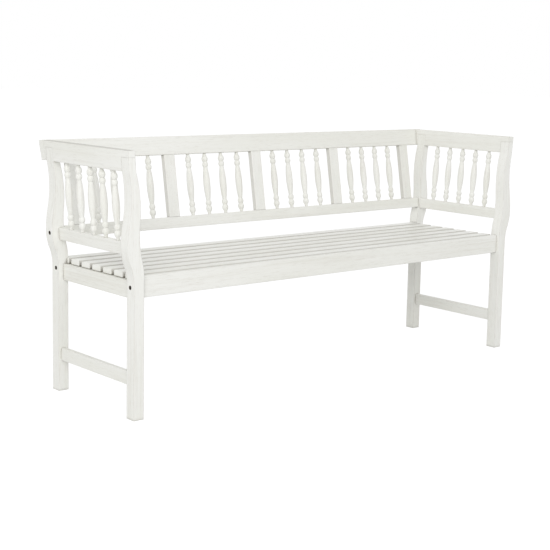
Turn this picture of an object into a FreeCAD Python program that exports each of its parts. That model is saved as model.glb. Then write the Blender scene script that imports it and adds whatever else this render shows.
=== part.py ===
import FreeCAD, Part
import math
import operator
import os
from types import SimpleNamespace

import Sketcher

# Garden bench of painted wood: four bowed posts, two arm panels and a back panel of turned spindles,
# and a slatted seat. Lengths are in millimetres and angles in degrees. X runs along the bench, Y from
# front to back and Z up, with the floor at zero.

SIZES = [
    # legs and the bowed posts above them
    ("leg_span", 1742.0, "outside of the left legs to outside of the right legs"),
    ("leg_depth", 487.0, "front of the front legs to back of the rear legs"),
    ("leg_wide", 36.0, "leg along the bench"),
    ("leg_deep", 40.0, "leg from front to back"),
    ("bend_below", 25.0, "outer bend starts this far below the seat top"),
    ("crest_out", 23.5, "outer crest beyond the leg"),
    ("crest_above", 12.0, "outer crest above the middle of the arm lower rail"),
    ("waist_out", 10.5, "outer waist beyond the leg"),
    ("waist_above", 152.0, "outer waist above the middle of the arm lower rail"),
    ("inner_bend_above", 5.0, "inner bend starts this far above the seat top"),
    ("inner_crest", 16.6, "inner crest beyond the inner face of the leg"),
    ("inner_crest_above", 45.0, "inner crest above the middle of the arm lower rail"),
    ("inner_waist", 13.6, "inner waist beyond the inner face of the leg"),
    ("inner_waist_above", 118.0, "inner waist above the middle of the arm lower rail"),
    ("post_reveal", 0.3, "faces of the arm top rail stand proud of the post by this much"),
    ("cap_tall", 22.0, "wood of the arm top rail above the post"),
    # seat
    ("seat_height", 450.0, "top of the slats"),
    ("slat_thick", 20.0, "thickness of a slat"),
    ("slat_gap", 14.0, "gap in front of each slat"),
    ("slat_rear_inset", 4.0, "last slat stops this far short of the back of the legs"),
    ("slat_lap", 5.0, "slat over each seat side rail"),
    ("slat_post_gap", 1.0, "gap between the last slat and the rear posts"),
    ("slat_round", 5.5, "rounding along the edges of a slat"),
    ("slat_end_round", 3.0, "rounding across the ends of a slat"),
    ("rail_thick", 20.0, "thickness of the front and rear rails"),
    ("rail_tall", 68.0, "height of the front rail"),
    ("rail_setback", 13.0, "front rail behind the front of the legs"),
    ("apron_thick", 18.0, "thickness of a seat side rail"),
    ("apron_tall", 54.0, "height of a seat side rail"),
    ("bearer_wide", 20.0, "width of a bearer"),
    ("bearer_tall", 22.0, "height of a bearer"),
    ("stretcher_thick", 18.0, "thickness of a leg stretcher"),
    ("stretcher_tall", 42.0, "height of a leg stretcher"),
    ("stretcher_low", 104.0, "underside of a leg stretcher above the floor"),
    # arm and back panels
    ("arm_rise", 82.4, "middle of the arm lower rail above the seat top"),
    ("arm_offset", 24.0, "middle of the arm lower rail outside the inner face of the legs"),
    ("arm_angle", 4.5, "arms lean outwards"),
    ("back_angle", 10.0, "back leans backwards"),
    ("lower_thick", 20.0, "thickness of the lower rails"),
    ("lower_tall", 40.0, "height of the lower rails"),
    ("board_thick", 25.0, "thickness of the top rails"),
    ("board_tall", 65.0, "height of the top rails"),
    ("stile_wide", 45.0, "width of a back stile"),
    ("stile_thick", 20.0, "thickness of a back stile"),
    ("stile_inset", 46.0, "middle of an end stile inside the inner face of the legs"),
    ("spindle_pitch", 74.0, "middle of one back spindle to the next"),
    ("arm_spindle_pitch", 69.0, "middle of one arm spindle to the next"),
    # eased edges
    ("rail_round", 2.0, "rounding along rails and stiles"),
    # turned spindle
    ("spindle_show", 221.0, "spindle between the rails"),
    ("neck_radius", 5.75, "plain neck, also the round tenon"),
    ("neck_long", 4.0, "plain neck beside a rail"),
    ("flare_long", 6.0, "taper from the neck to the bead"),
    ("waist_radius", 7.2, "grooves between the turned swells"),
    ("bead_long", 21.0, "outer bead"),
    ("bead_radius", 11.0, "outer bead"),
    ("collar_long", 19.0, "inner bead"),
    ("collar_radius", 10.5, "inner bead"),
    ("belly_radius", 12.3, "long middle swell"),
    # joints
    ("fit", 0.2, "clearance between a tenon and its mortise"),
    ("tenon_long", 12.0, "length of every tenon"),
    ("tenon_thick", 9.0, "tenon of side rails, stretchers and stiles"),
    ("tenon_tall", 20.0, "tenon of side rails and stretchers"),
    ("tenon_rise", 12.0, "side rail and stretcher tenons above the underside"),
    ("stub_thick", 6.0, "tenon of an arm lower rail"),
    ("stub_tall", 24.0, "tenon of an arm lower rail"),
    ("stub_shoulder", 1.0, "shoulder outside the tenon of an arm lower rail"),
    ("stile_tenon", 25.0, "width of a stile tenon"),
    ("peg_wide", 10.0, "tenon on top of a post, along the bench"),
    ("peg_deep", 24.0, "tenon on top of a post, front to back"),
    ("peg_tall", 10.0, "tenon on top of a post"),
    ("bearer_tenon", 10.0, "width and height of the middle bearer's tenon"),
    # bolts, barrel nuts and screws
    ("bolt_radius", 3.0, "shank of a connector bolt"),
    ("bolt_long", 60.0, "shank of a connector bolt"),
    ("head_radius", 5.5, "head of a connector bolt"),
    ("head_tall", 6.0, "head of a connector bolt"),
    ("socket_radius", 2.9, "hexagon socket, corner radius"),
    ("socket_deep", 3.0, "hexagon socket"),
    ("bore_radius", 6.5, "counterbore for a bolt head"),
    ("bore_deep", 10.0, "counterbore for a bolt head"),
    ("nut_radius", 5.0, "barrel nut"),
    ("nut_long", 14.0, "barrel nut"),
    ("nut_reach", 52.0, "barrel nut from the seat of the bolt head"),
    ("screw_radius", 2.0, "wood screw"),
    ("screw_long", 35.0, "wood screw, head included"),
    ("screw_head", 4.0, "countersunk head, its radius and its height"),
    ("screw_edge", 15.0, "slat screw behind the front edge of its slat, apart from the last slat"),
    ("plug_deep", 8.0, "depth of the plug hole over a corner screw"),
]
SLATS = 7
BAYS = 4
SPINDLES_PER_BAY = 4
SPINDLES_PER_ARM = 5
ELBOW_SHARE = 0.475
MIDDLE_SHARE = 0.5
INNER_ELBOW_SHARE = 0.3
OVERRUN = 5.0
FRONT, REAR = -1, 1
SIDES = (("left", -1), ("right", 1))
ENDS = (("front", FRONT), ("rear", REAR))
# axes that a section's own X, Y and Z follow when it runs along X, Y or Z
SECTION_AXES = {"x": "yzx", "y": "zxy", "z": "xyz"}
OPERATIONS = {"+": operator.add, "-": operator.sub, "*": operator.mul, "/": operator.truediv}

doc = FreeCAD.newDocument("bench")
sheet = doc.addObject("Spreadsheet::Sheet", "Sizes")
pieces = []


class Size:
    """A value together with the sheet expression that gives it."""

    def __init__(self, text, value):
        self.text = text
        self.value = value

    def __add__(self, other):
        return combine(self, "+", other)

    def __radd__(self, other):
        return combine(other, "+", self)

    def __sub__(self, other):
        return combine(self, "-", other)

    def __rsub__(self, other):
        return combine(other, "-", self)

    def __mul__(self, other):
        return combine(self, "*", other)

    def __rmul__(self, other):
        return combine(other, "*", self)

    def __truediv__(self, other):
        return combine(self, "/", other)

    def __neg__(self):
        return combine(0, "-", self)


def as_size(thing):
    return thing if isinstance(thing, Size) else Size(repr(float(thing)), float(thing))


def combine(left, sign, right):
    left = as_size(left)
    right = as_size(right)
    return Size(f"({left.text} {sign} {right.text})", OPERATIONS[sign](left.value, right.value))


def sine(angle):
    return Size(f"sin({angle.text})", math.sin(math.radians(angle.value)))


def cosine(angle):
    return Size(f"cos({angle.text})", math.cos(math.radians(angle.value)))


def fill_sheet():
    """Writes every size into the sheet under its own name and returns them by name."""
    named = {}
    for row, (name, value, meaning) in enumerate(SIZES, start=1):
        sheet.set(f"A{row}", repr(value))
        sheet.setAlias(f"A{row}", name)
        sheet.set(f"B{row}", meaning)
        named[name] = Size(f"Sizes.{name}", value)
    doc.recompute()
    return SimpleNamespace(**named)


def bind(thing, path, size):
    thing.setExpression(path, as_size(size).text)


class Frame:
    """A leaning or upright set of axes that pieces are laid out in."""

    def __init__(self, origin, axis=(0, 0, 1), lean=0):
        self.origin = origin
        self.axis = FreeCAD.Vector(*axis)
        self.lean = as_size(lean)

    def point(self, x, y, z):
        """Takes a point of this frame to the bench."""
        ox, oy, oz = self.origin
        run = sine(self.lean)
        level = cosine(self.lean)
        if self.axis.y:
            turn = self.axis.y
            return ox + x * level + z * run * turn, oy + y, oz + z * level - x * run * turn
        if self.axis.x:
            turn = self.axis.x
            return ox + x, oy + y * level - z * run * turn, oz + z * level + y * run * turn
        return ox + x, oy + y, oz + z

    def place(self, thing, x, y, z):
        """Sets a thing down at a point of this frame and turns it with the frame."""
        if self.lean.value:
            thing.Placement.Rotation = FreeCAD.Rotation(self.axis, self.lean.value)
            bind(thing, "Placement.Rotation.Angle", self.lean)
        for letter, size in zip("xyz", self.point(x, y, z)):
            bind(thing, f"Placement.Base.{letter}", size)
        return thing


def block(name, frame, x, y, z):
    """A box between the two ends given for each direction."""
    solid = doc.addObject("Part::Box", name)
    bind(solid, "Length", x[1] - x[0])
    bind(solid, "Width", y[1] - y[0])
    bind(solid, "Height", z[1] - z[0])
    return frame.place(solid, x[0], y[0], z[0])


def rounded_block(name, frame, x, y, z, toward, radius):
    """A block with the four edges rounded that run along one direction."""
    spans = {"x": x, "y": y, "z": z}
    wide, tall, long = (spans[letter][1] - spans[letter][0] for letter in SECTION_AXES[toward])
    section = doc.addObject("Sketcher::SketchObject", f"{name}_section")
    corners = [
        (radius, 0), (wide - radius, 0), (wide, radius), (wide, tall - radius),
        (wide - radius, tall), (radius, tall), (0, tall - radius), (0, radius),
    ]
    draw(section, corners, {i: (radius, 1) for i in range(1, len(corners), 2)})
    run = doc.addObject("Part::Extrusion", f"{name}_run")
    run.Base = section
    run.DirMode = "Normal"
    run.Solid = True
    bind(run, "LengthFwd", long)
    axes = [FreeCAD.Vector(*(letter == other for other in "xyz")) for letter in SECTION_AXES[toward]]
    run.Placement.Rotation = FreeCAD.Rotation(*axes)
    return frame.place(copy_of(run, name), x[0], y[0], z[0])


def rod(name, frame, start, radius, length, toward="z", tip_radius=None):
    """A round bar, or with a tip radius a cone, that runs from a point of a frame."""
    solid = doc.addObject("Part::Cylinder" if tip_radius is None else "Part::Cone", name)
    bind(solid, "Height", length)
    if tip_radius is None:
        bind(solid, "Radius", radius)
    else:
        bind(solid, "Radius1", radius)
        bind(solid, "Radius2", tip_radius)
    return aim(solid, frame, start, toward)


def aim(solid, frame, start, toward):
    """Sets a thing down with its own Z axis along one of the frame's directions."""
    turns = {
        "z": FreeCAD.Rotation(),
        "-z": FreeCAD.Rotation(FreeCAD.Vector(1, 0, 0), 180),
        "x": FreeCAD.Rotation(FreeCAD.Vector(0, 1, 0), 90),
        "-x": FreeCAD.Rotation(FreeCAD.Vector(0, 1, 0), -90),
        "y": FreeCAD.Rotation(FreeCAD.Vector(1, 0, 0), -90),
        "-y": FreeCAD.Rotation(FreeCAD.Vector(1, 0, 0), 90),
    }
    lean = FreeCAD.Rotation(frame.axis, frame.lean.value)
    solid.Placement.Rotation = lean * turns[toward]
    for letter, size in zip("xyz", frame.point(*start)):
        bind(solid, f"Placement.Base.{letter}", size)
    return solid


def both(side, low, high):
    """The span from low to high on the right, mirrored on the left."""
    return (low, high) if side > 0 else (-high, -low)


def fuse(name, things):
    joined = doc.addObject("Part::MultiFuse", name)
    joined.Shapes = things
    joined.Refine = True
    return joined


def cut(name, base, tools):
    """The base with every tool cut out of it."""
    tool = tools[0] if len(tools) == 1 else fuse(f"{name}_cuts", tools)
    rest = doc.addObject("Part::Cut", name)
    rest.Base = base
    rest.Tool = tool
    return rest


def common(name, things):
    """What all the things have in common."""
    shared = doc.addObject("Part::MultiCommon", name)
    shared.Shapes = things
    return shared


def keep(thing, label):
    """Marks a thing as one of the pieces of the bench."""
    thing.Label = label
    pieces.append(thing)
    return thing


def copy_of(thing, name):
    twin = doc.addObject("Part::Compound", name)
    twin.Links = [thing]
    return twin


def group(name, things):
    members = doc.addObject("Part::Compound", name)
    members.Links = things
    return keep(members, name)


def new_sketch(body, name):
    """A sketch on the upright plane that faces the front of the bench."""
    plane = [feature for feature in body.Origin.OriginFeatures if feature.Role == "XZ_Plane"][0]
    sketch = body.newObject("Sketcher::SketchObject", name)
    sketch.AttachmentSupport = [(plane, "")]
    sketch.MapMode = "FlatFace"
    return sketch


def arc_between(start, end, radius, turn):
    """The arc from start to end that turns left (1) or right (-1), always stored anticlockwise."""
    chord = end - start
    across = FreeCAD.Vector(-chord.y, chord.x, 0).normalize() * turn
    rise = math.sqrt(radius ** 2 - (chord.Length / 2) ** 2)
    centre = (start + end) / 2 + across * rise
    first, last = (start, end) if turn > 0 else (end, start)
    first_angle = math.atan2(first.y - centre.y, first.x - centre.x)
    last_angle = math.atan2(last.y - centre.y, last.x - centre.x)
    circle = Part.Circle(centre, FreeCAD.Vector(0, 0, 1), radius)
    return Part.ArcOfCircle(circle, first_angle, last_angle)


def draw(sketch, corners, arcs):
    """A closed outline. arcs gives the side after a corner its radius and which way it turns."""
    count = len(corners)
    at = [FreeCAD.Vector(as_size(x).value, as_size(y).value, 0) for x, y in corners]
    ends = []
    for i in range(count):
        start = at[i]
        end = at[(i + 1) % count]
        if i in arcs:
            radius, turn = arcs[i]
            sketch.addGeometry(arc_between(start, end, radius.value, turn))
            ends.append((1, 2) if turn > 0 else (2, 1))
            number = sketch.addConstraint(Sketcher.Constraint("Radius", i, radius.value))
            bind(sketch, f"Constraints[{number}]", radius)
        else:
            sketch.addGeometry(Part.LineSegment(start, end))
            ends.append((1, 2))
    for i, corner in enumerate(corners):
        before = (i - 1) % count
        sketch.addConstraint(Sketcher.Constraint("Coincident", before, ends[before][1], i, ends[i][0]))
        for kind, axis, size in zip(("DistanceX", "DistanceY"), (-2, -1), corner):
            size = as_size(size)
            if size.value == 0:
                sketch.addConstraint(Sketcher.Constraint("PointOnObject", i, ends[i][0], axis))
                continue
            number = sketch.addConstraint(Sketcher.Constraint(kind, i, ends[i][0], size.value))
            bind(sketch, f"Constraints[{number}]", size)


def along(start, end, share):
    """The point that lies the given share of the way from start to end."""
    return start[0] + (end[0] - start[0]) * share, start[1] + (end[1] - start[1]) * share


def bend_radius(upright, turning):
    """Radius of the bend that stands upright at one point and passes through the other."""
    across = upright[0] - turning[0]
    rise = upright[1] - turning[1]
    size = (across * across + rise * rise) / (2 * across)
    return size if size.value > 0 else -size


d = fill_sheet()

half_span = d.leg_span / 2
half_depth = d.leg_depth / 2
leg_inside = half_span - d.leg_wide
leg_face = half_depth - d.leg_deep
slat_under = d.seat_height - d.slat_thick
rail_low = d.seat_height - d.rail_tall
rail_line = half_depth - d.rail_setback - d.rail_thick / 2
rail_inside = rail_line - d.rail_thick / 2
bolt_level = d.seat_height - d.rail_tall / 2
apron_low = slat_under - d.apron_tall
apron_line = leg_inside + d.apron_thick / 2
stretcher_line = half_span - d.leg_wide / 2
bearer_low = slat_under - d.bearer_tall
lower_top = d.lower_tall / 2
board_low = lower_top + d.spindle_show
board_high = board_low + d.board_tall
board_half = d.board_thick / 2
arm_line = leg_inside + d.arm_offset
arm_foot = d.seat_height + d.arm_rise
rim = arm_foot + board_high * cosine(d.arm_angle) + board_half * sine(d.arm_angle)
back_foot = rim - board_high * cosine(d.back_angle) - board_half * sine(d.back_angle)
post_top = rim - d.cap_tall
back_rail_end = leg_inside + d.inner_crest
stile_pitch = (leg_inside - d.stile_inset) * 2 / BAYS
stub_long = (rail_line - leg_face) / 2

# The back leans past the rear legs, so the legs stand forward of the middle of the bench's depth.
back_reach = rail_line + board_high * sine(d.back_angle) + board_half * cosine(d.back_angle)
forward = (half_depth - back_reach) / 2

floor = Frame((as_size(0), forward, as_size(0)))
back = Frame((as_size(0), forward + rail_line, back_foot), (-1, 0, 0), d.back_angle)
arms = {side: Frame((arm_line * side, forward, arm_foot), (0, side, 0), d.arm_angle) for _, side in SIDES}


def board_face(face, level):
    """Outer (1) or inner (-1) face of an arm top rail at a level, from the inner face of the leg."""
    middle = d.arm_offset + (level - arm_foot) * sine(d.arm_angle) / cosine(d.arm_angle)
    return middle + (board_half / cosine(d.arm_angle) - d.post_reveal) * face


def board_foot(face):
    """Level of the lower edge of an arm top rail on its outer or inner face."""
    return arm_foot + board_low * cosine(d.arm_angle) - board_half * sine(d.arm_angle) * face


outer_tip = board_face(1, post_top)
inner_tip = board_face(-1, post_top)


def make_post_blank():
    """A post stood with the inner face of its leg on the YZ plane, bowing towards +X."""
    body = doc.addObject("PartDesign::Body", "post_blank")
    sketch = new_sketch(body, "post_outline")
    elbow = (d.leg_wide, d.seat_height - d.bend_below)
    crest = (d.leg_wide + d.crest_out, arm_foot + d.crest_above)
    waist = (d.leg_wide + d.waist_out, arm_foot + d.waist_above)
    flush = (board_face(1, board_foot(1)), board_foot(1))
    outer = (outer_tip, post_top)
    inner = (inner_tip, post_top)
    inner_flush = (board_face(-1, board_foot(-1)), board_foot(-1))
    inner_waist = (d.inner_waist, arm_foot + d.inner_waist_above)
    inner_crest = (d.inner_crest, arm_foot + d.inner_crest_above)
    inner_elbow = (0, d.seat_height + d.inner_bend_above)
    rise = along(elbow, crest, ELBOW_SHARE)
    fall = along(crest, waist, MIDDLE_SHARE)
    inner_fall = along(inner_crest, inner_waist, MIDDLE_SHARE)
    inner_rise = along(inner_elbow, inner_crest, INNER_ELBOW_SHARE)
    corners = [
        (0, 0), (d.leg_wide, 0), elbow, rise, crest, fall, waist, flush, outer,
        inner, inner_flush, inner_waist, inner_fall, inner_crest, inner_rise, inner_elbow,
    ]
    left, right = 1, -1
    arcs = {
        2: (bend_radius(elbow, rise), right),
        3: (bend_radius(crest, rise), left),
        4: (bend_radius(crest, fall), left),
        5: (bend_radius(waist, fall), right),
        6: (bend_radius(waist, flush), right),
        10: (bend_radius(inner_waist, inner_flush), left),
        11: (bend_radius(inner_waist, inner_fall), left),
        12: (bend_radius(inner_crest, inner_fall), right),
        13: (bend_radius(inner_crest, inner_rise), right),
        14: (bend_radius(inner_elbow, inner_rise), left),
    }
    draw(sketch, corners, arcs)
    pad = body.newObject("PartDesign::Pad", "post_pad")
    pad.Profile = sketch
    bind(pad, "Length", d.leg_deep)
    return body


def make_spindle_blank():
    """A turned spindle that stands on the end of its lower tenon."""
    body = doc.addObject("PartDesign::Body", "spindle_blank")
    sketch = new_sketch(body, "spindle_outline")
    long = d.spindle_show + d.tenon_long * 2
    taper = d.tenon_long + d.neck_long
    bead = taper + d.flare_long
    collar = bead + d.bead_long
    belly = collar + d.collar_long
    lower = [(d.neck_radius, taper)] + [(d.waist_radius, level) for level in (bead, collar, belly)]
    upper = [(radius, long - level) for radius, level in reversed(lower)]
    corners = [(0, 0), (d.neck_radius, 0)] + lower + upper + [(d.neck_radius, long), (0, long)]
    first_swell = corners.index(lower[1])
    swells = (
        (d.bead_long, d.bead_radius),
        (d.collar_long, d.collar_radius),
        (long - belly * 2, d.belly_radius),
        (d.collar_long, d.collar_radius),
        (d.bead_long, d.bead_radius),
    )
    arcs = {}
    for i, (chord, radius) in enumerate(swells, start=first_swell):
        swell = radius - d.waist_radius
        arcs[i] = ((chord * chord / 4 + swell * swell) / (2 * swell), 1)
    draw(sketch, corners, arcs)
    turned = body.newObject("PartDesign::Revolution", "spindle_turned")
    turned.Profile = sketch
    turned.ReferenceAxis = (sketch, ["V_Axis"])
    turned.Angle = 360
    return body


def socket_tool(name, frame, x, y, z, slack=0):
    """A mortise, or with no slack the tenon itself, from its three spans."""
    spans = [(low - slack, high + slack) for low, high in (x, y, z)]
    return block(name, frame, *spans)


def end_span(end, reach):
    """From the inside face of the legs at the front or the rear, a length into the leg."""
    return (leg_face, leg_face + reach) if end > 0 else (-leg_face - reach, -leg_face)


def side_rail_tenon(name, side, end, line, low, slack=0):
    x = both(side, line - d.tenon_thick / 2, line + d.tenon_thick / 2)
    z = (low + d.tenon_rise, low + d.tenon_rise + d.tenon_tall)
    return socket_tool(name, floor, x, end_span(end, d.tenon_long), z, slack)


def arm_rail_tenon(name, side, end, slack=0):
    outside = d.lower_thick / 2 - d.stub_shoulder
    x = both(side, outside - d.stub_thick, outside)
    z = (-d.stub_tall / 2, d.stub_tall / 2)
    return socket_tool(name, arms[side], x, end_span(end, stub_long), z, slack)


def post_peg(name, side, end, slack=0):
    middle = leg_inside + (inner_tip + outer_tip) / 2
    x = both(side, middle - d.peg_wide / 2, middle + d.peg_wide / 2)
    line = (leg_face + d.leg_deep / 2) * end
    y = (line - d.peg_deep / 2, line + d.peg_deep / 2)
    return socket_tool(name, floor, x, y, (post_top, post_top + d.peg_tall), slack)


def bolt_places():
    """The rail that each bolt goes into, its side, and the point that its head seats on."""
    places = []
    for side_name, side in SIDES:
        seat = (half_span - d.bore_deep) * side
        high_seat = (half_span + d.crest_out - d.bore_deep) * side
        places.append(("front", side_name, side, (seat, -rail_line, bolt_level)))
        places.append(("rear", side_name, side, (seat, rail_line, bolt_level)))
        places.append(("back", side_name, side, (high_seat, rail_line, back_foot)))
    return places


def inward(side):
    return "-x" if side > 0 else "x"


def outward(side):
    return "x" if side > 0 else "-x"


def bolt_hole(name, side, seat):
    return rod(name, floor, seat, d.bolt_radius + d.fit, d.bolt_long + d.fit, inward(side))


def make_post(end_name, end, side_name, side, blank):
    name = f"post_{end_name}_{side_name}"
    twin = copy_of(blank, f"{name}_blank")
    turn = 0 if side > 0 else 180
    twin.Placement.Rotation = FreeCAD.Rotation(FreeCAD.Vector(0, 0, 1), turn)
    outer_face = half_depth if end > 0 else -leg_face
    inner_face = leg_face if end > 0 else -half_depth
    floor.place(twin, leg_inside * side, outer_face if side > 0 else inner_face, 0)
    whole = fuse(f"{name}_whole", [twin, post_peg(f"{name}_peg", side, end)])
    tools = [
        side_rail_tenon(f"{name}_apron_mortise", side, end, apron_line, apron_low, d.fit),
        side_rail_tenon(f"{name}_stretcher_mortise", side, end, stretcher_line, d.stretcher_low, d.fit),
        arm_rail_tenon(f"{name}_arm_mortise", side, end, d.fit),
    ]
    for rail, _, bolt_side, seat in bolt_places():
        if bolt_side != side or (rail == "front") != (end == FRONT):
            continue
        tools.append(bolt_hole(f"{name}_{rail}_hole", side, seat))
        bore = rod(f"{name}_{rail}_bore", floor, seat, d.bore_radius, d.bore_deep + OVERRUN, outward(side))
        tools.append(bore)
    if end == REAR:
        housing = lower_rail_spans(back_rail_end + d.fit, d.fit)
        tools.append(rounded_block(f"{name}_housing", back, *housing, "x", d.rail_round))
    return keep(cut(name, whole, tools), name)


def lower_rail_spans(reach, slack=0):
    """Spans of the back lower rail in the frame of the back."""
    thick = d.lower_thick / 2 + slack
    tall = lower_top + slack
    return (-reach, reach), (-thick, thick), (-tall, tall)


def make_side_rail(label, side, line, thick, low, tall, tools):
    """A rail from the front leg to the rear leg on one side."""
    x = both(side, line - thick / 2, line + thick / 2)
    bar = rounded_block(f"{label}_bar", floor, x, (-leg_face, leg_face), (low, low + tall), "y", d.rail_round)
    tenons = [side_rail_tenon(f"{label}_{end_name}_tenon", side, end, line, low) for end_name, end in ENDS]
    whole = fuse(f"{label}_whole", [bar] + tenons)
    return keep(cut(label, whole, tools) if tools else whole, label)


def spindle_hole(name, frame, x, y, top):
    """Hole that the tenon of a spindle bottoms in, in the lower rail or (top) in the top rail."""
    low = board_low - OVERRUN if top else lower_top - d.tenon_long
    return rod(name, frame, (x, y, low), d.neck_radius + d.fit, d.tenon_long + OVERRUN)


def arm_spindle_lines():
    middle = (SPINDLES_PER_ARM - 1) / 2
    return [d.arm_spindle_pitch * (i - middle) for i in range(SPINDLES_PER_ARM)]


def stile_lines():
    return [stile_pitch * (i - BAYS / 2) for i in range(BAYS + 1)]


def back_spindle_lines():
    lines = []
    for bay in range(BAYS):
        centre = stile_pitch * (bay - (BAYS - 1) / 2)
        for i in range(SPINDLES_PER_BAY):
            lines.append(centre + d.spindle_pitch * (i - (SPINDLES_PER_BAY - 1) / 2))
    return lines


def make_arm(side_name, side, spindle, screws):
    frame = arms[side]
    lines = arm_spindle_lines()
    lower = f"arm_lower_rail_{side_name}"
    thick = d.lower_thick / 2
    bar = rounded_block(f"{lower}_bar", frame, (-thick, thick), (-leg_face, leg_face),
                        (-lower_top, lower_top), "y", d.rail_round)
    tenons = [arm_rail_tenon(f"{lower}_{end_name}_tenon", side, end) for end_name, end in ENDS]
    whole = fuse(f"{lower}_whole", [bar] + tenons)
    holes = [spindle_hole(f"{lower}_hole_{i}", frame, 0, y, False) for i, y in enumerate(lines, start=1)]
    keep(cut(lower, whole, holes), lower)

    top = f"arm_top_rail_{side_name}"
    z = (board_low, board_high)
    bar = rounded_block(f"{top}_bar", frame, (-board_half, board_half), (-half_depth, back_reach), z,
                        "y", d.rail_round)
    behind = block(f"{top}_mitre", back, (-d.leg_span, d.leg_span), (-board_half, d.leg_depth),
                   (as_size(0), board_high * 2))
    tools = [behind]
    across = both(side, leg_inside - d.leg_wide, d.leg_span)
    under = (arm_foot, post_top)
    front_notch = (-half_depth - OVERRUN, -leg_face + d.fit)
    rear_notch = (leg_face - d.fit, half_depth + d.fit)
    for (end_name, end), notch in zip(ENDS, (front_notch, rear_notch)):
        tools.append(block(f"{top}_{end_name}_notch", floor, across, notch, under))
        tools.append(post_peg(f"{top}_{end_name}_mortise", side, end, d.fit))
    tools += [spindle_hole(f"{top}_hole_{i}", frame, 0, y, True) for i, y in enumerate(lines, start=1)]
    shaped = cut(f"{top}_shaped", bar, tools)
    keep(cut(top, shaped, [screws]), top)

    for i, y in enumerate(lines, start=1):
        name = f"arm_spindle_{side_name}_{i}"
        twin = copy_of(spindle, name)
        frame.place(twin, 0, y, lower_top - d.tenon_long)
        keep(twin, name)


def stile_tenon(name, line, top, slack=0):
    x = (line - d.stile_tenon / 2, line + d.stile_tenon / 2)
    y = (-d.tenon_thick / 2, d.tenon_thick / 2)
    z = (board_low, board_low + d.tenon_long) if top else (lower_top - d.tenon_long, lower_top)
    return socket_tool(name, back, x, y, z, slack)


def make_back(spindle, screws):
    lines = back_spindle_lines()
    stiles = stile_lines()
    for top in (False, True):
        name = "back_top_rail" if top else "back_lower_rail"
        tools = [spindle_hole(f"{name}_hole_{i}", back, x, 0, top) for i, x in enumerate(lines, start=1)]
        tools += [stile_tenon(f"{name}_mortise_{i}", x, top, d.fit) for i, x in enumerate(stiles, start=1)]
        if top:
            reach = half_span + d.leg_wide * 2
            bar = rounded_block(f"{name}_bar", back, (-reach, reach), (-board_half, board_half),
                                (board_low, board_high), "x", d.rail_round)
            for side_name, side in SIDES:
                x = both(side, board_half, d.leg_span)
                beyond = block(f"{name}_{side_name}_end", arms[side], x, (-d.leg_depth, d.leg_depth),
                               (as_size(0), board_high * 2))
                tools.append(beyond)
                start = (corner_screw_line(side), board_half + OVERRUN, corner_screw_level())
                tools.append(rod(f"{name}_{side_name}_plug_hole", back, start, d.screw_head,
                                 d.plug_deep + OVERRUN, "-y"))
            shaped = cut(f"{name}_shaped", bar, tools)
            keep(cut(name, shaped, [screws]), name)
        else:
            bar = rounded_block(f"{name}_bar", back, *lower_rail_spans(back_rail_end), "x", d.rail_round)
            tools += nut_pockets("back", name)
            keep(cut(name, bar, tools), name)

    for i, line in enumerate(stiles, start=1):
        name = f"back_stile_{i}"
        x = (line - d.stile_wide / 2, line + d.stile_wide / 2)
        y = (-d.stile_thick / 2, d.stile_thick / 2)
        bar = rounded_block(f"{name}_bar", back, x, y, (lower_top, board_low), "z", d.rail_round)
        tenons = [stile_tenon(f"{name}_{end}_tenon", line, end == "upper") for end in ("lower", "upper")]
        keep(fuse(name, [bar] + tenons), name)

    for i, x in enumerate(lines, start=1):
        name = f"back_spindle_{i}"
        twin = copy_of(spindle, name)
        back.place(twin, x, 0, lower_top - d.tenon_long)
        keep(twin, name)


def nut_frame(rail):
    """Frame that a rail lies in, and the side that its barrel nuts go in from."""
    if rail == "back":
        return back, REAR
    end = FRONT if rail == "front" else REAR
    return Frame((floor.origin[0], floor.origin[1] + rail_line * end, bolt_level)), -end


def nut_pockets(wanted, name):
    """Bolt holes and barrel nut holes of the front, rear or back rail."""
    tools = []
    for rail, side_name, side, seat in bolt_places():
        if rail != wanted:
            continue
        tools.append(bolt_hole(f"{name}_{side_name}_hole", side, seat))
        frame, opening = nut_frame(rail)
        start = (seat[0] - d.nut_reach * side, (-d.nut_long / 2 - d.fit) * opening, 0)
        thick = d.lower_thick if rail == "back" else d.rail_thick
        deep = d.nut_long / 2 + d.fit + thick / 2 + OVERRUN
        tools.append(rod(f"{name}_{side_name}_nut_hole", frame, start, d.nut_radius + d.fit, deep,
                         "y" if opening > 0 else "-y"))
    return tools


def bearer_tenon(name, end, slack=0):
    half = d.bearer_tenon / 2
    middle = bearer_low + d.bearer_tall / 2
    y = (rail_inside, rail_inside + d.tenon_long) if end > 0 else (-rail_inside - d.tenon_long, -rail_inside)
    return socket_tool(name, floor, (-half, half), y, (middle - half, middle + half), slack)


def slat_fronts():
    """Front edge of every slat, and the width they share."""
    depth = half_depth - d.slat_rear_inset + rail_inside
    pitch = depth / SLATS
    return [pitch * i + d.slat_gap - rail_inside for i in range(SLATS)], pitch - d.slat_gap


def bearer_spans():
    inside = leg_inside - d.bearer_wide
    middle = d.bearer_wide / 2
    return {"left": (-leg_inside, -inside), "centre": (-middle, middle), "right": (inside, leg_inside)}


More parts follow.
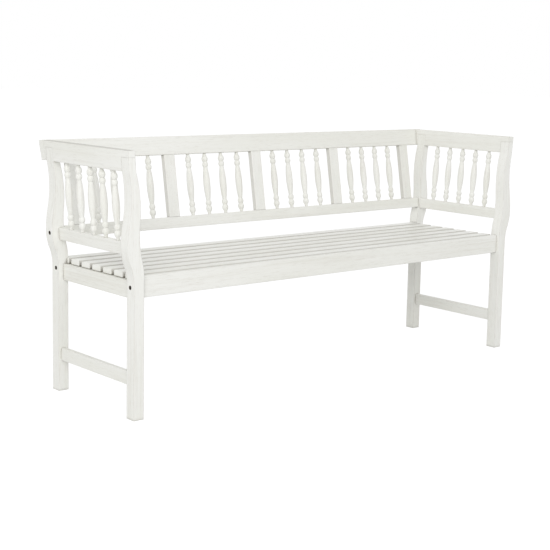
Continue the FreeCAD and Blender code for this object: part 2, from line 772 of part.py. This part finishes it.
def make_seat(screws):
    for (end_name, end), top in zip(ENDS, (d.seat_height, slat_under)):
        name = f"seat_{end_name}_rail"
        y = (rail_line * end - d.rail_thick / 2, rail_line * end + d.rail_thick / 2)
        bar = rounded_block(f"{name}_bar", floor, (-leg_inside, leg_inside), y, (rail_low, top),
                            "x", d.rail_round)
        tools = nut_pockets(end_name, name) + [bearer_tenon(f"{name}_mortise", end, d.fit)]
        keep(cut(name, bar, tools), name)

    for side_name, side in SIDES:
        make_side_rail(f"seat_side_rail_{side_name}", side, apron_line, d.apron_thick, apron_low,
                       d.apron_tall, [screws])
        make_side_rail(f"leg_stretcher_{side_name}", side, stretcher_line, d.stretcher_thick,
                       d.stretcher_low, d.stretcher_tall, [])

    for place, x in bearer_spans().items():
        name = f"seat_bearer_{place}"
        whole = block(f"{name}_bar", floor, x, (-rail_inside, rail_inside), (bearer_low, slat_under))
        if place == "centre":
            tenons = [bearer_tenon(f"{name}_{end_name}_tenon", end) for end_name, end in ENDS]
            whole = fuse(f"{name}_whole", [whole] + tenons)
        keep(cut(name, whole, [screws]), name)

    fronts, wide = slat_fronts()
    blank = make_slat_blank(wide)
    for i, front in enumerate(fronts, start=1):
        name = f"seat_slat_{i}"
        bar = copy_of(blank, f"{name}_bar")
        floor.place(bar, 0, front, slat_under)
        tools = [screws]
        if i == SLATS:
            for side_name, side in SIDES:
                x = both(side, leg_inside - d.slat_post_gap, half_span)
                y = (leg_face - d.slat_post_gap, half_depth)
                notch = block(f"{name}_{side_name}_notch", floor, x, y, (rail_low, d.seat_height + OVERRUN))
                tools.append(notch)
        keep(cut(name, bar, tools), name)


def make_slat_blank(wide):
    """A slat that lies on the XY plane with its front edge on the X axis, rounded along and across."""
    reach = leg_inside + d.slat_lap
    spans = (-reach, reach), (as_size(0), wide), (as_size(0), d.slat_thick)
    bench = Frame((as_size(0), as_size(0), as_size(0)))
    length = rounded_block("slat_length", bench, *spans, "x", d.slat_round)
    ends = rounded_block("slat_ends", bench, *spans, "y", d.slat_end_round)
    return common("slat_blank", [length, ends])


def corner_screw_level():
    """Height up the back of the screws into the arm top rails, in the wood above the posts."""
    return board_high - d.cap_tall / 2


def corner_screw_line(side):
    rise = rim - d.cap_tall / 2 - arm_foot
    return (arm_line + rise * sine(d.arm_angle) / cosine(d.arm_angle)) * side


def make_screw(name, frame, start, toward):
    """A countersunk wood screw whose head is flush at its starting point."""
    parts = [
        rod(f"{name}_head", frame, start, d.screw_head, d.screw_head, toward, d.screw_radius),
        rod(f"{name}_shank", frame, start, d.screw_radius, d.screw_long, toward),
    ]
    return fuse(name, parts)


def make_screws():
    screws = []
    *fronts, last = slat_fronts()[0]
    # the last slat also covers the rear rail, so its screws stand midway along the wood before that rail
    rows = [front + d.screw_edge for front in fronts] + [(last + rail_inside) / 2]
    for place, (low, high) in bearer_spans().items():
        middle = (low + high) / 2
        for i, row in enumerate(rows, start=1):
            start = (middle, row, bearer_low)
            screws.append(make_screw(f"slat_screw_{place}_{i}", floor, start, "z"))
    between = {"front": (rows[1] + rows[2]) / 2, "rear": (rows[-3] + rows[-2]) / 2}
    for side_name, side in SIDES:
        for end_name, row in between.items():
            start = ((leg_inside - d.bearer_wide) * side, row, bearer_low + d.bearer_tall / 2)
            screws.append(make_screw(f"bearer_screw_{side_name}_{end_name}", floor, start, outward(side)))
        start = (corner_screw_line(side), board_half - d.plug_deep, corner_screw_level())
        screws.append(make_screw(f"corner_screw_{side_name}", back, start, "-y"))
    return group("wood_screws", screws)


def make_bolts():
    """The connector bolts and the barrel nuts they screw into."""
    bolts = []
    nuts = []
    for rail, side_name, side, seat in bolt_places():
        place = f"{rail}_{side_name}"
        name = f"bolt_{place}"
        top = (seat[0] + (d.head_tall - d.socket_deep) * side, seat[1], seat[2])
        shank = rod(f"{name}_shank", floor, seat, d.bolt_radius, d.bolt_long, inward(side))
        head = rod(f"{name}_head", floor, seat, d.head_radius, d.head_tall, outward(side))
        socket = doc.addObject("Part::Prism", f"{name}_socket")
        socket.Polygon = 6
        bind(socket, "Circumradius", d.socket_radius)
        bind(socket, "Height", d.socket_deep + OVERRUN)
        aim(socket, floor, top, outward(side))
        bolts.append(cut(name, fuse(f"{name}_blank", [shank, head]), [socket]))

        frame, _ = nut_frame(rail)
        start = (seat[0] - d.nut_reach * side, -d.nut_long / 2, 0)
        barrel = rod(f"nut_{place}_barrel", frame, start, d.nut_radius, d.nut_long, "y")
        thread = rod(f"nut_{place}_thread", floor, seat, d.bolt_radius, d.bolt_long, inward(side))
        nuts.append(cut(f"nut_{place}", barrel, [thread]))
    group("connector_bolts", bolts)
    group("barrel_nuts", nuts)


post_blank = make_post_blank()
spindle_blank = make_spindle_blank()
for end_label, end_sign in ENDS:
    for side_label, side_sign in SIDES:
        make_post(end_label, end_sign, side_label, side_sign, post_blank)
all_screws = make_screws()
make_bolts()
make_seat(all_screws)
make_back(spindle_blank, all_screws)
for side_label, side_sign in SIDES:
    make_arm(side_label, side_sign, spindle_blank, all_screws)
doc.recompute()

for item in doc.Objects:
    if "Invalid" in item.State or "Error" in item.State:
        raise RuntimeError(f"{item.Label} did not build: {item.State}")
for piece in pieces:
    if piece.Shape.isNull() or not piece.Shape.isValid():
        raise RuntimeError(f"{piece.Label} has no sound shape")

os.makedirs("parts", exist_ok=True)
for piece in pieces:
    piece.Shape.exportStep(f"parts/{piece.Label}.step")
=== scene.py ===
"""Looks of the painted garden bench: materials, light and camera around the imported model."""
import math

import bpy
from mathutils import Matrix, Vector

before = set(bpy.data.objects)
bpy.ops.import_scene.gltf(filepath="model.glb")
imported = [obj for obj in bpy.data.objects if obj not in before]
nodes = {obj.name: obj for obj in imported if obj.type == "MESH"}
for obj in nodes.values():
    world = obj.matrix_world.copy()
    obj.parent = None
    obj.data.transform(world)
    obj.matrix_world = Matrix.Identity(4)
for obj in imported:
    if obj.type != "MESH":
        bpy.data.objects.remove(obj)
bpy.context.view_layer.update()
scene = bpy.context.scene

# Axes of the drilled bolt bores, which run along X: (y, z) in the front post, in the rear post, and in
# the rear post at the back's lower rail
BORES = ((-0.2417, 0.416), (0.1993, 0.416), (0.1993, 0.5349))
BORE_RADIUS = 0.0067


def colour(red, green, blue):
    """A colour written as screen values from 0 to 255, as Blender's linear one."""
    channels = []
    for value in (red, green, blue):
        share = value / 255
        channels.append(share / 12.92 if share <= 0.04045 else ((share + 0.055) / 1.055) ** 2.4)
    return (*channels, 1.0)


class Nodes:
    """A node tree, with short ways to add to it."""

    def __init__(self, tree):
        self.tree = tree

    def add(self, kind, inputs=None, **settings):
        """A new node. An input is a value, or the output that feeds it."""
        made = self.tree.nodes.new(kind)
        for key, value in settings.items():
            setattr(made, key, value)
        for key, value in (inputs or {}).items():
            self.feed(made.inputs[key], value)
        return made

    def feed(self, socket, value):
        if isinstance(value, bpy.types.NodeSocket):
            self.tree.links.new(value, socket)
        else:
            socket.default_value = value

    def math(self, operation, first, second=0.0):
        return self.add("ShaderNodeMath", {0: first, 1: second}, operation=operation).outputs[0]

    def vector(self, operation, first, second=(0.0, 0.0, 0.0)):
        """A vector operation's node, which has the vector as output 0 and a number as output 1."""
        return self.add("ShaderNodeVectorMath", {0: first, 1: second}, operation=operation)

    def total(self, *parts):
        """The sum of values that each come with a weight."""
        weighted = [self.math("MULTIPLY", value, weight) for value, weight in parts]
        whole = weighted[0]
        for part in weighted[1:]:
            whole = self.math("ADD", whole, part)
        return whole

    def span(self, value, low, high, least=0.0, most=1.0):
        """The value's run from low to high, as a smooth run from least to most."""
        inputs = {"Value": value, "From Min": low, "From Max": high, "To Min": least, "To Max": most}
        return self.add("ShaderNodeMapRange", inputs, interpolation_type="SMOOTHSTEP").outputs["Result"]

    def background_rays(self):
        """1 for the rays that show the background: from the camera, off gloss and through glass."""
        ways = self.add("ShaderNodeLightPath").outputs
        seen = self.math("MAXIMUM", ways["Is Camera Ray"], ways["Is Glossy Ray"])
        return self.math("MAXIMUM", seen, ways["Is Transmission Ray"])


class Shader(Nodes):
    """A new material's node tree."""

    GRAIN_SHIFT = (31.7, 17.3, 23.9)

    def __init__(self, name):
        self.material = bpy.data.materials.new(name)
        self.material.use_nodes = True
        super().__init__(self.material.node_tree)
        self.surface = self.tree.nodes["Principled BSDF"]

    def blend(self, share, first, second):
        mix = self.add("ShaderNodeMix", data_type="RGBA")
        self.feed(mix.inputs[0], share)
        self.feed(mix.inputs[6], first)
        self.feed(mix.inputs[7], second)
        return mix.outputs[2]

    def tint(self, tone, mask, share, other):
        """The tone, with a share of another colour where the mask is 1."""
        return self.blend(self.math("MULTIPLY", mask, share), tone, other)

    def noise(self, place, scale, detail=2.0, roughness=0.5, distortion=0.0):
        """Noise that is stretched by a scale for each axis, in cells to a metre."""
        stretched = self.add("ShaderNodeMapping", {"Vector": place, "Scale": scale}).outputs[0]
        inputs = {"Vector": stretched, "Scale": 1.0, "Detail": detail, "Roughness": roughness,
                  "Distortion": distortion}
        return self.add("ShaderNodeTexNoise", inputs).outputs[0]

    def own_place(self):
        """Place in the bench, moved by a piece's own amount so that no two pieces share their grain."""
        place = self.add("ShaderNodeTexCoord").outputs["Object"]
        chance = self.add("ShaderNodeObjectInfo").outputs["Random"]
        shift = self.add("ShaderNodeVectorMath", {0: self.GRAIN_SHIFT, "Scale": chance}, operation="SCALE")
        return self.vector("ADD", place, shift.outputs[0]).outputs[0]

    def facing(self, axis, both_ways, low, high):
        """1 on the faces that look along an axis of the bench, 0 on those that look well aside of it."""
        normal = self.add("ShaderNodeNewGeometry").outputs["Normal"]
        part = self.add("ShaderNodeSeparateXYZ", {0: normal}).outputs[axis]
        if both_ways:
            part = self.math("ABSOLUTE", part)
        return self.span(part, low, high)

    def crevices(self, reach):
        """Painted shade: 1 deep in the gaps and joints that are narrower than the reach, 0 in the open."""
        open_share = self.add("ShaderNodeAmbientOcclusion", {"Distance": reach}, samples=8).outputs["AO"]
        return self.span(open_share, 0.75, 0.2)

    def edges(self, rounded):
        """1 on the arrises and in the corners, 0 on the flats, from a normal that is rounded there."""
        flat = self.add("ShaderNodeNewGeometry").outputs["Normal"]
        same = self.vector("DOT_PRODUCT", rounded, flat).outputs["Value"]
        return self.span(same, 1.0, 0.75)

    def bores(self):
        """1 inside the drilled bolt bores."""
        place = self.add("ShaderNodeTexCoord").outputs["Object"]
        nearest = 1.0
        for y, z in BORES:
            side = self.vector("SUBTRACT", place, (0, y, z)).outputs[0]
            across = self.vector("MULTIPLY", side, (0, 1, 1)).outputs[0]
            away = self.vector("LENGTH", across).outputs["Value"]
            nearest = self.math("MINIMUM", away, nearest)
        return self.math("LESS_THAN", nearest, BORE_RADIUS)


PAINT = colour(243, 243, 239)
PAINT_SHADE = colour(238, 238, 232)
PAINT_THIN = colour(219, 216, 207)
PORE = colour(196, 189, 176)
WORN = colour(212, 204, 189)
# Painted shade: a grey laid over the paint where less light falls, in gaps, joints and on some faces
PAINTED_SHADE = colour(140, 134, 122)
# Bare wood inside the bolt bores, made very dark as painted shade of the deep holes
BORE_WOOD_AND_SHADE = colour(74, 62, 50)
BORE_GRAIN_AND_SHADE = colour(46, 38, 31)

# Grain of the wood, in cells to a metre along and across it
PATCH_CELLS = (1.6, 9.0)
STREAK_CELLS = (2.6, 95.0)
LINE_CELLS = (6.0, 420.0)
PORE_CELLS = (26.0, 1150.0)
COAT_CELLS = (2.0, 6.0)
WEAR_CELLS = 38.0

# How far the arrises are eased, how far painted shade reaches into the gaps and joints, and how deep the
# grain is, in metres
EASED_EDGE = 0.003
SHADE_REACH = 0.02
GRAIN_DEPTH = 0.0004
GRAIN_STRENGTH = 0.35

# Shares of the colours over the paint
PORE_SHARE = 0.4
WORN_SHARE = 0.55
# share of the painted shade in the gaps and joints
CREVICE_SHADE_SHARE = 0.75
BORE_ROUGHNESS = 0.9
PAINT_GLOSS = 0.3

# Faces that get painted shade, a grey for the light they lack: axis, whether both ways, and how squarely
# they look along it
UPPER_FACES = ("Z", False, 0.75, 0.95)
SIDE_FACES = ("X", True, 0.75, 0.95)
SLAT_EDGES = ("Y", True, 0.2, 0.6)


def wood(name, grain, drilled=False, fine=1.0, bare=0.5, matt=0.56, shaded_faces=None, face_shade_share=0.0):
    """Wood under thin white paint, with its grain along one axis of the bench.

    fine makes the grain finer, bare is the share of thin paint in the streaks, matt the least roughness,
    and the last two give the faces that take painted shade, a grey for less light, and its share.
    """
    s = Shader(name)
    place = s.own_place()

    def grain_noise(cells, *settings):
        along, across = cells
        return s.noise(place, [along if axis == grain else across * fine for axis in "xyz"], *settings)

    patches = s.span(grain_noise(PATCH_CELLS, 2.0), 0.35, 0.68)
    streaks = s.span(grain_noise(STREAK_CELLS, 5.0, 0.62, 0.3), 0.44, 0.72)
    lines = s.span(grain_noise(LINE_CELLS, 3.0, 0.55), 0.5, 0.75)
    pores = s.span(grain_noise(PORE_CELLS, 1.0), 0.62, 0.74)
    coat = s.span(grain_noise(COAT_CELLS, 2.0), 0.3, 0.65, 0.35, 1.0)
    thin = s.math("MULTIPLY", s.total((streaks, 0.65), (lines, 0.35)), coat)
    rounded = s.add("ShaderNodeBevel", {"Radius": EASED_EDGE}, samples=6).outputs[0]
    scuffs = s.span(s.noise(place, [WEAR_CELLS] * 3, 4.0, 0.6), 0.42, 0.7)
    wear = s.math("MULTIPLY", s.edges(rounded), scuffs)

    tone = s.blend(patches, PAINT, PAINT_SHADE)
    tone = s.tint(tone, thin, bare, PAINT_THIN)
    tone = s.tint(tone, pores, PORE_SHARE, PORE)
    tone = s.tint(tone, wear, WORN_SHARE, WORN)
    if shaded_faces:
        # painted shade: faces that look along the given axis are greyed, as if less light reached them
        tone = s.tint(tone, s.facing(*shaded_faces), face_shade_share, PAINTED_SHADE)
    # painted shade: the gaps and joints are greyed by ambient occlusion
    tone = s.tint(tone, s.crevices(SHADE_REACH), CREVICE_SHADE_SHARE, PAINTED_SHADE)
    rough = s.math("ADD", s.total((thin, 0.14), (patches, 0.06)), matt)
    if drilled:
        # bare wood in the bores, darkened further as painted shade of the holes
        inside = s.bores()
        tone = s.blend(inside, tone, s.blend(lines, BORE_WOOD_AND_SHADE, BORE_GRAIN_AND_SHADE))
        rough = s.math("MAXIMUM", rough, s.math("MULTIPLY", inside, BORE_ROUGHNESS))
    s.feed(s.surface.inputs["Base Color"], tone)
    s.feed(s.surface.inputs["Roughness"], rough)
    s.surface.inputs["Specular IOR Level"].default_value = PAINT_GLOSS

    height = s.total((lines, -0.5), (pores, -0.8), (streaks, -0.6))
    relief = {"Strength": GRAIN_STRENGTH, "Distance": GRAIN_DEPTH, "Height": height, "Normal": rounded}
    s.feed(s.surface.inputs["Normal"], s.add("ShaderNodeBump", relief).outputs[0])
    return s.material


ZINC = colour(70, 68, 65)
ZINC_DARK = colour(48, 46, 44)
ZINC_SCUFF = colour(120, 117, 111)
CLOUD_CELLS = [260.0, 260.0, 260.0]
SCUFF_CELLS = [900.0, 2400.0, 900.0]
SCUFF_SHARE = 0.5
SCUFF_DEPTH = 0.0001
SCUFF_STRENGTH = 0.2


def dark_zinc(name):
    """Blackened zinc plate on bolts, nuts and screws, dulled and scuffed."""
    s = Shader(name)
    place = s.own_place()
    cloud = s.span(s.noise(place, CLOUD_CELLS, 4.0, 0.6), 0.35, 0.7)
    scuff = s.span(s.noise(place, SCUFF_CELLS, 3.0), 0.58, 0.75)
    tone = s.tint(s.blend(cloud, ZINC, ZINC_DARK), scuff, SCUFF_SHARE, ZINC_SCUFF)
    s.feed(s.surface.inputs["Base Color"], tone)
    s.feed(s.surface.inputs["Roughness"], s.span(cloud, 0.0, 1.0, 0.38, 0.6))
    s.surface.inputs["Metallic"].default_value = 1.0
    relief = {"Strength": SCUFF_STRENGTH, "Distance": SCUFF_DEPTH, "Height": scuff}
    s.feed(s.surface.inputs["Normal"], s.add("ShaderNodeBump", relief).outputs[0])
    return s.material


finishes = {
    "x": wood("painted_wood_along_x", "x"),
    "y": wood("painted_wood_along_y", "y"),
    # painted shade on the upper faces of the back's top rail and arm tops, the stiles' sides and the
    # slats' front and rear edges
    "back_top": wood("painted_wood_back_top", "x", shaded_faces=UPPER_FACES, face_shade_share=0.2),
    "arm_top": wood("painted_wood_arm_tops", "y", shaded_faces=UPPER_FACES, face_shade_share=0.35),
    "stile": wood("painted_wood_stiles", "z", shaded_faces=SIDE_FACES, face_shade_share=0.22),
    "side": wood("painted_wood_seat_sides", "y", bare=0.8),
    "post": wood("painted_wood_posts", "z", drilled=True),
    "slat": wood("painted_wood_slats", "x", bare=0.2, matt=0.3, shaded_faces=SLAT_EDGES, face_shade_share=0.4),
    "turned": wood("painted_wood_turned", "z", fine=1.6, bare=0.9),
    "metal": dark_zinc("dark_zinc"),
}
# The finish of each piece, by how its name starts
KINDS = (
    ("post", "post"), ("back_spindle", "turned"), ("arm_spindle", "turned"), ("back_stile", "stile"),
    ("seat_slat", "slat"), ("seat_front", "x"), ("seat_rear", "x"), ("back_top", "back_top"),
    ("back_lower", "x"), ("arm_top", "arm_top"), ("arm_lower", "y"), ("seat_side", "side"),
    ("leg_stretcher", "y"), ("seat_bearer", "y"),
    ("connector_bolts", "metal"), ("barrel_nuts", "metal"), ("wood_screws", "metal"),
)
for label, piece in nodes.items():
    kind = next(finish for start, finish in KINDS if label.startswith(start))
    for slot in piece.material_slots:
        slot.material = finishes[kind]

FLOOR_HALF = 30.0
FLOOR_SHADE = (0.25, 0.25, 0.25, 1.0)
FLOOR_GLOW = (0.86, 0.86, 0.86, 1.0)
FLOOR_BOUNCE = (0.8, 0.8, 0.79, 1.0)
WHITE = (1.0, 1.0, 1.0, 1.0)
WORLD_FILL = 0.74
KEY_PLACE = (-5.77, -5.77, 4.30)
KEY_TARGET = (0.0, 0.0, 0.5)
KEY_SIZE = (5.0, 4.5)
KEY_WATTS = 270.0


def pale_floor():
    """A floor that shows white and still takes the bench's shadow."""
    corners = [(x * FLOOR_HALF, y * FLOOR_HALF, 0) for x, y in ((-1, -1), (1, -1), (1, 1), (-1, 1))]
    mesh = bpy.data.meshes.new("floor")
    mesh.from_pydata(corners, [], [(0, 1, 2, 3)])
    floor = bpy.data.objects.new("floor", mesh)
    scene.collection.objects.link(floor)
    s = Shader("pale_floor")
    shade = s.add("ShaderNodeBsdfDiffuse", {"Color": FLOOR_SHADE}).outputs[0]
    glow = s.add("ShaderNodeEmission", {"Color": FLOOR_GLOW, "Strength": 1.0}).outputs[0]
    shown = s.add("ShaderNodeAddShader", {0: shade, 1: glow}).outputs[0]
    plain = s.add("ShaderNodeBsdfDiffuse", {"Color": FLOOR_BOUNCE}).outputs[0]
    chosen = s.add("ShaderNodeMixShader", {0: s.background_rays(), 1: plain, 2: shown}).outputs[0]
    s.feed(s.tree.nodes["Material Output"].inputs["Surface"], chosen)
    s.tree.nodes.remove(s.surface)
    floor.data.materials.append(s.material)


def white_world():
    """White where the camera sees it, and a softer fill light on everything else."""
    world = bpy.data.worlds.new("studio")
    world.use_nodes = True
    scene.world = world
    w = Nodes(world.node_tree)
    background = w.tree.nodes["Background"]
    background.inputs["Color"].default_value = WHITE
    w.feed(background.inputs["Strength"], w.span(w.background_rays(), 0.0, 1.0, WORLD_FILL, 1.0))


def key_light():
    """One large soft box, high at the front left."""
    lamp = bpy.data.lights.new("key_light", "AREA")
    lamp.shape = "RECTANGLE"
    lamp.size, lamp.size_y = KEY_SIZE
    lamp.energy = KEY_WATTS
    holder = bpy.data.objects.new("key_light", lamp)
    holder.location = KEY_PLACE
    toward = Vector(KEY_TARGET) - Vector(KEY_PLACE)
    holder.rotation_euler = toward.to_track_quat("-Z", "Y").to_euler()
    scene.collection.objects.link(holder)


pale_floor()
white_world()
key_light()

# Camera at the photograph's place, for a square picture. The shift is in widths of the picture.
CAMERA_PLACE = (-2.99051, -3.44071, 1.12685)
AZIMUTH = math.radians(-41.6157)
ELEVATION = math.radians(8.0142)
ROLL = math.radians(1.3450)
LENS_MM = 82.6610
SENSOR_MM = 36.0
SHIFT_ACROSS = -0.06
SHIFT_UP = -0.072727


def photo_camera():
    """The camera that looks along the photograph's line of sight."""
    back = Vector((math.sin(AZIMUTH) * math.cos(ELEVATION), -math.cos(AZIMUTH) * math.cos(ELEVATION),
                   math.sin(ELEVATION)))
    level = Vector((math.cos(AZIMUTH), math.sin(AZIMUTH), 0.0))
    upward = back.cross(level)
    right = level * math.cos(ROLL) + upward * math.sin(ROLL)
    above = upward * math.cos(ROLL) - level * math.sin(ROLL)
    lens = bpy.data.cameras.new("camera")
    lens.lens = LENS_MM
    lens.sensor_width = SENSOR_MM
    lens.shift_x = SHIFT_ACROSS
    lens.shift_y = SHIFT_UP
    camera = bpy.data.objects.new("camera", lens)
    turned = Matrix((right, above, back)).transposed().to_4x4()
    camera.matrix_world = Matrix.Translation(CAMERA_PLACE) @ turned
    scene.collection.objects.link(camera)
    scene.camera = camera


photo_camera()
scene.view_settings.view_transform = "Standard"
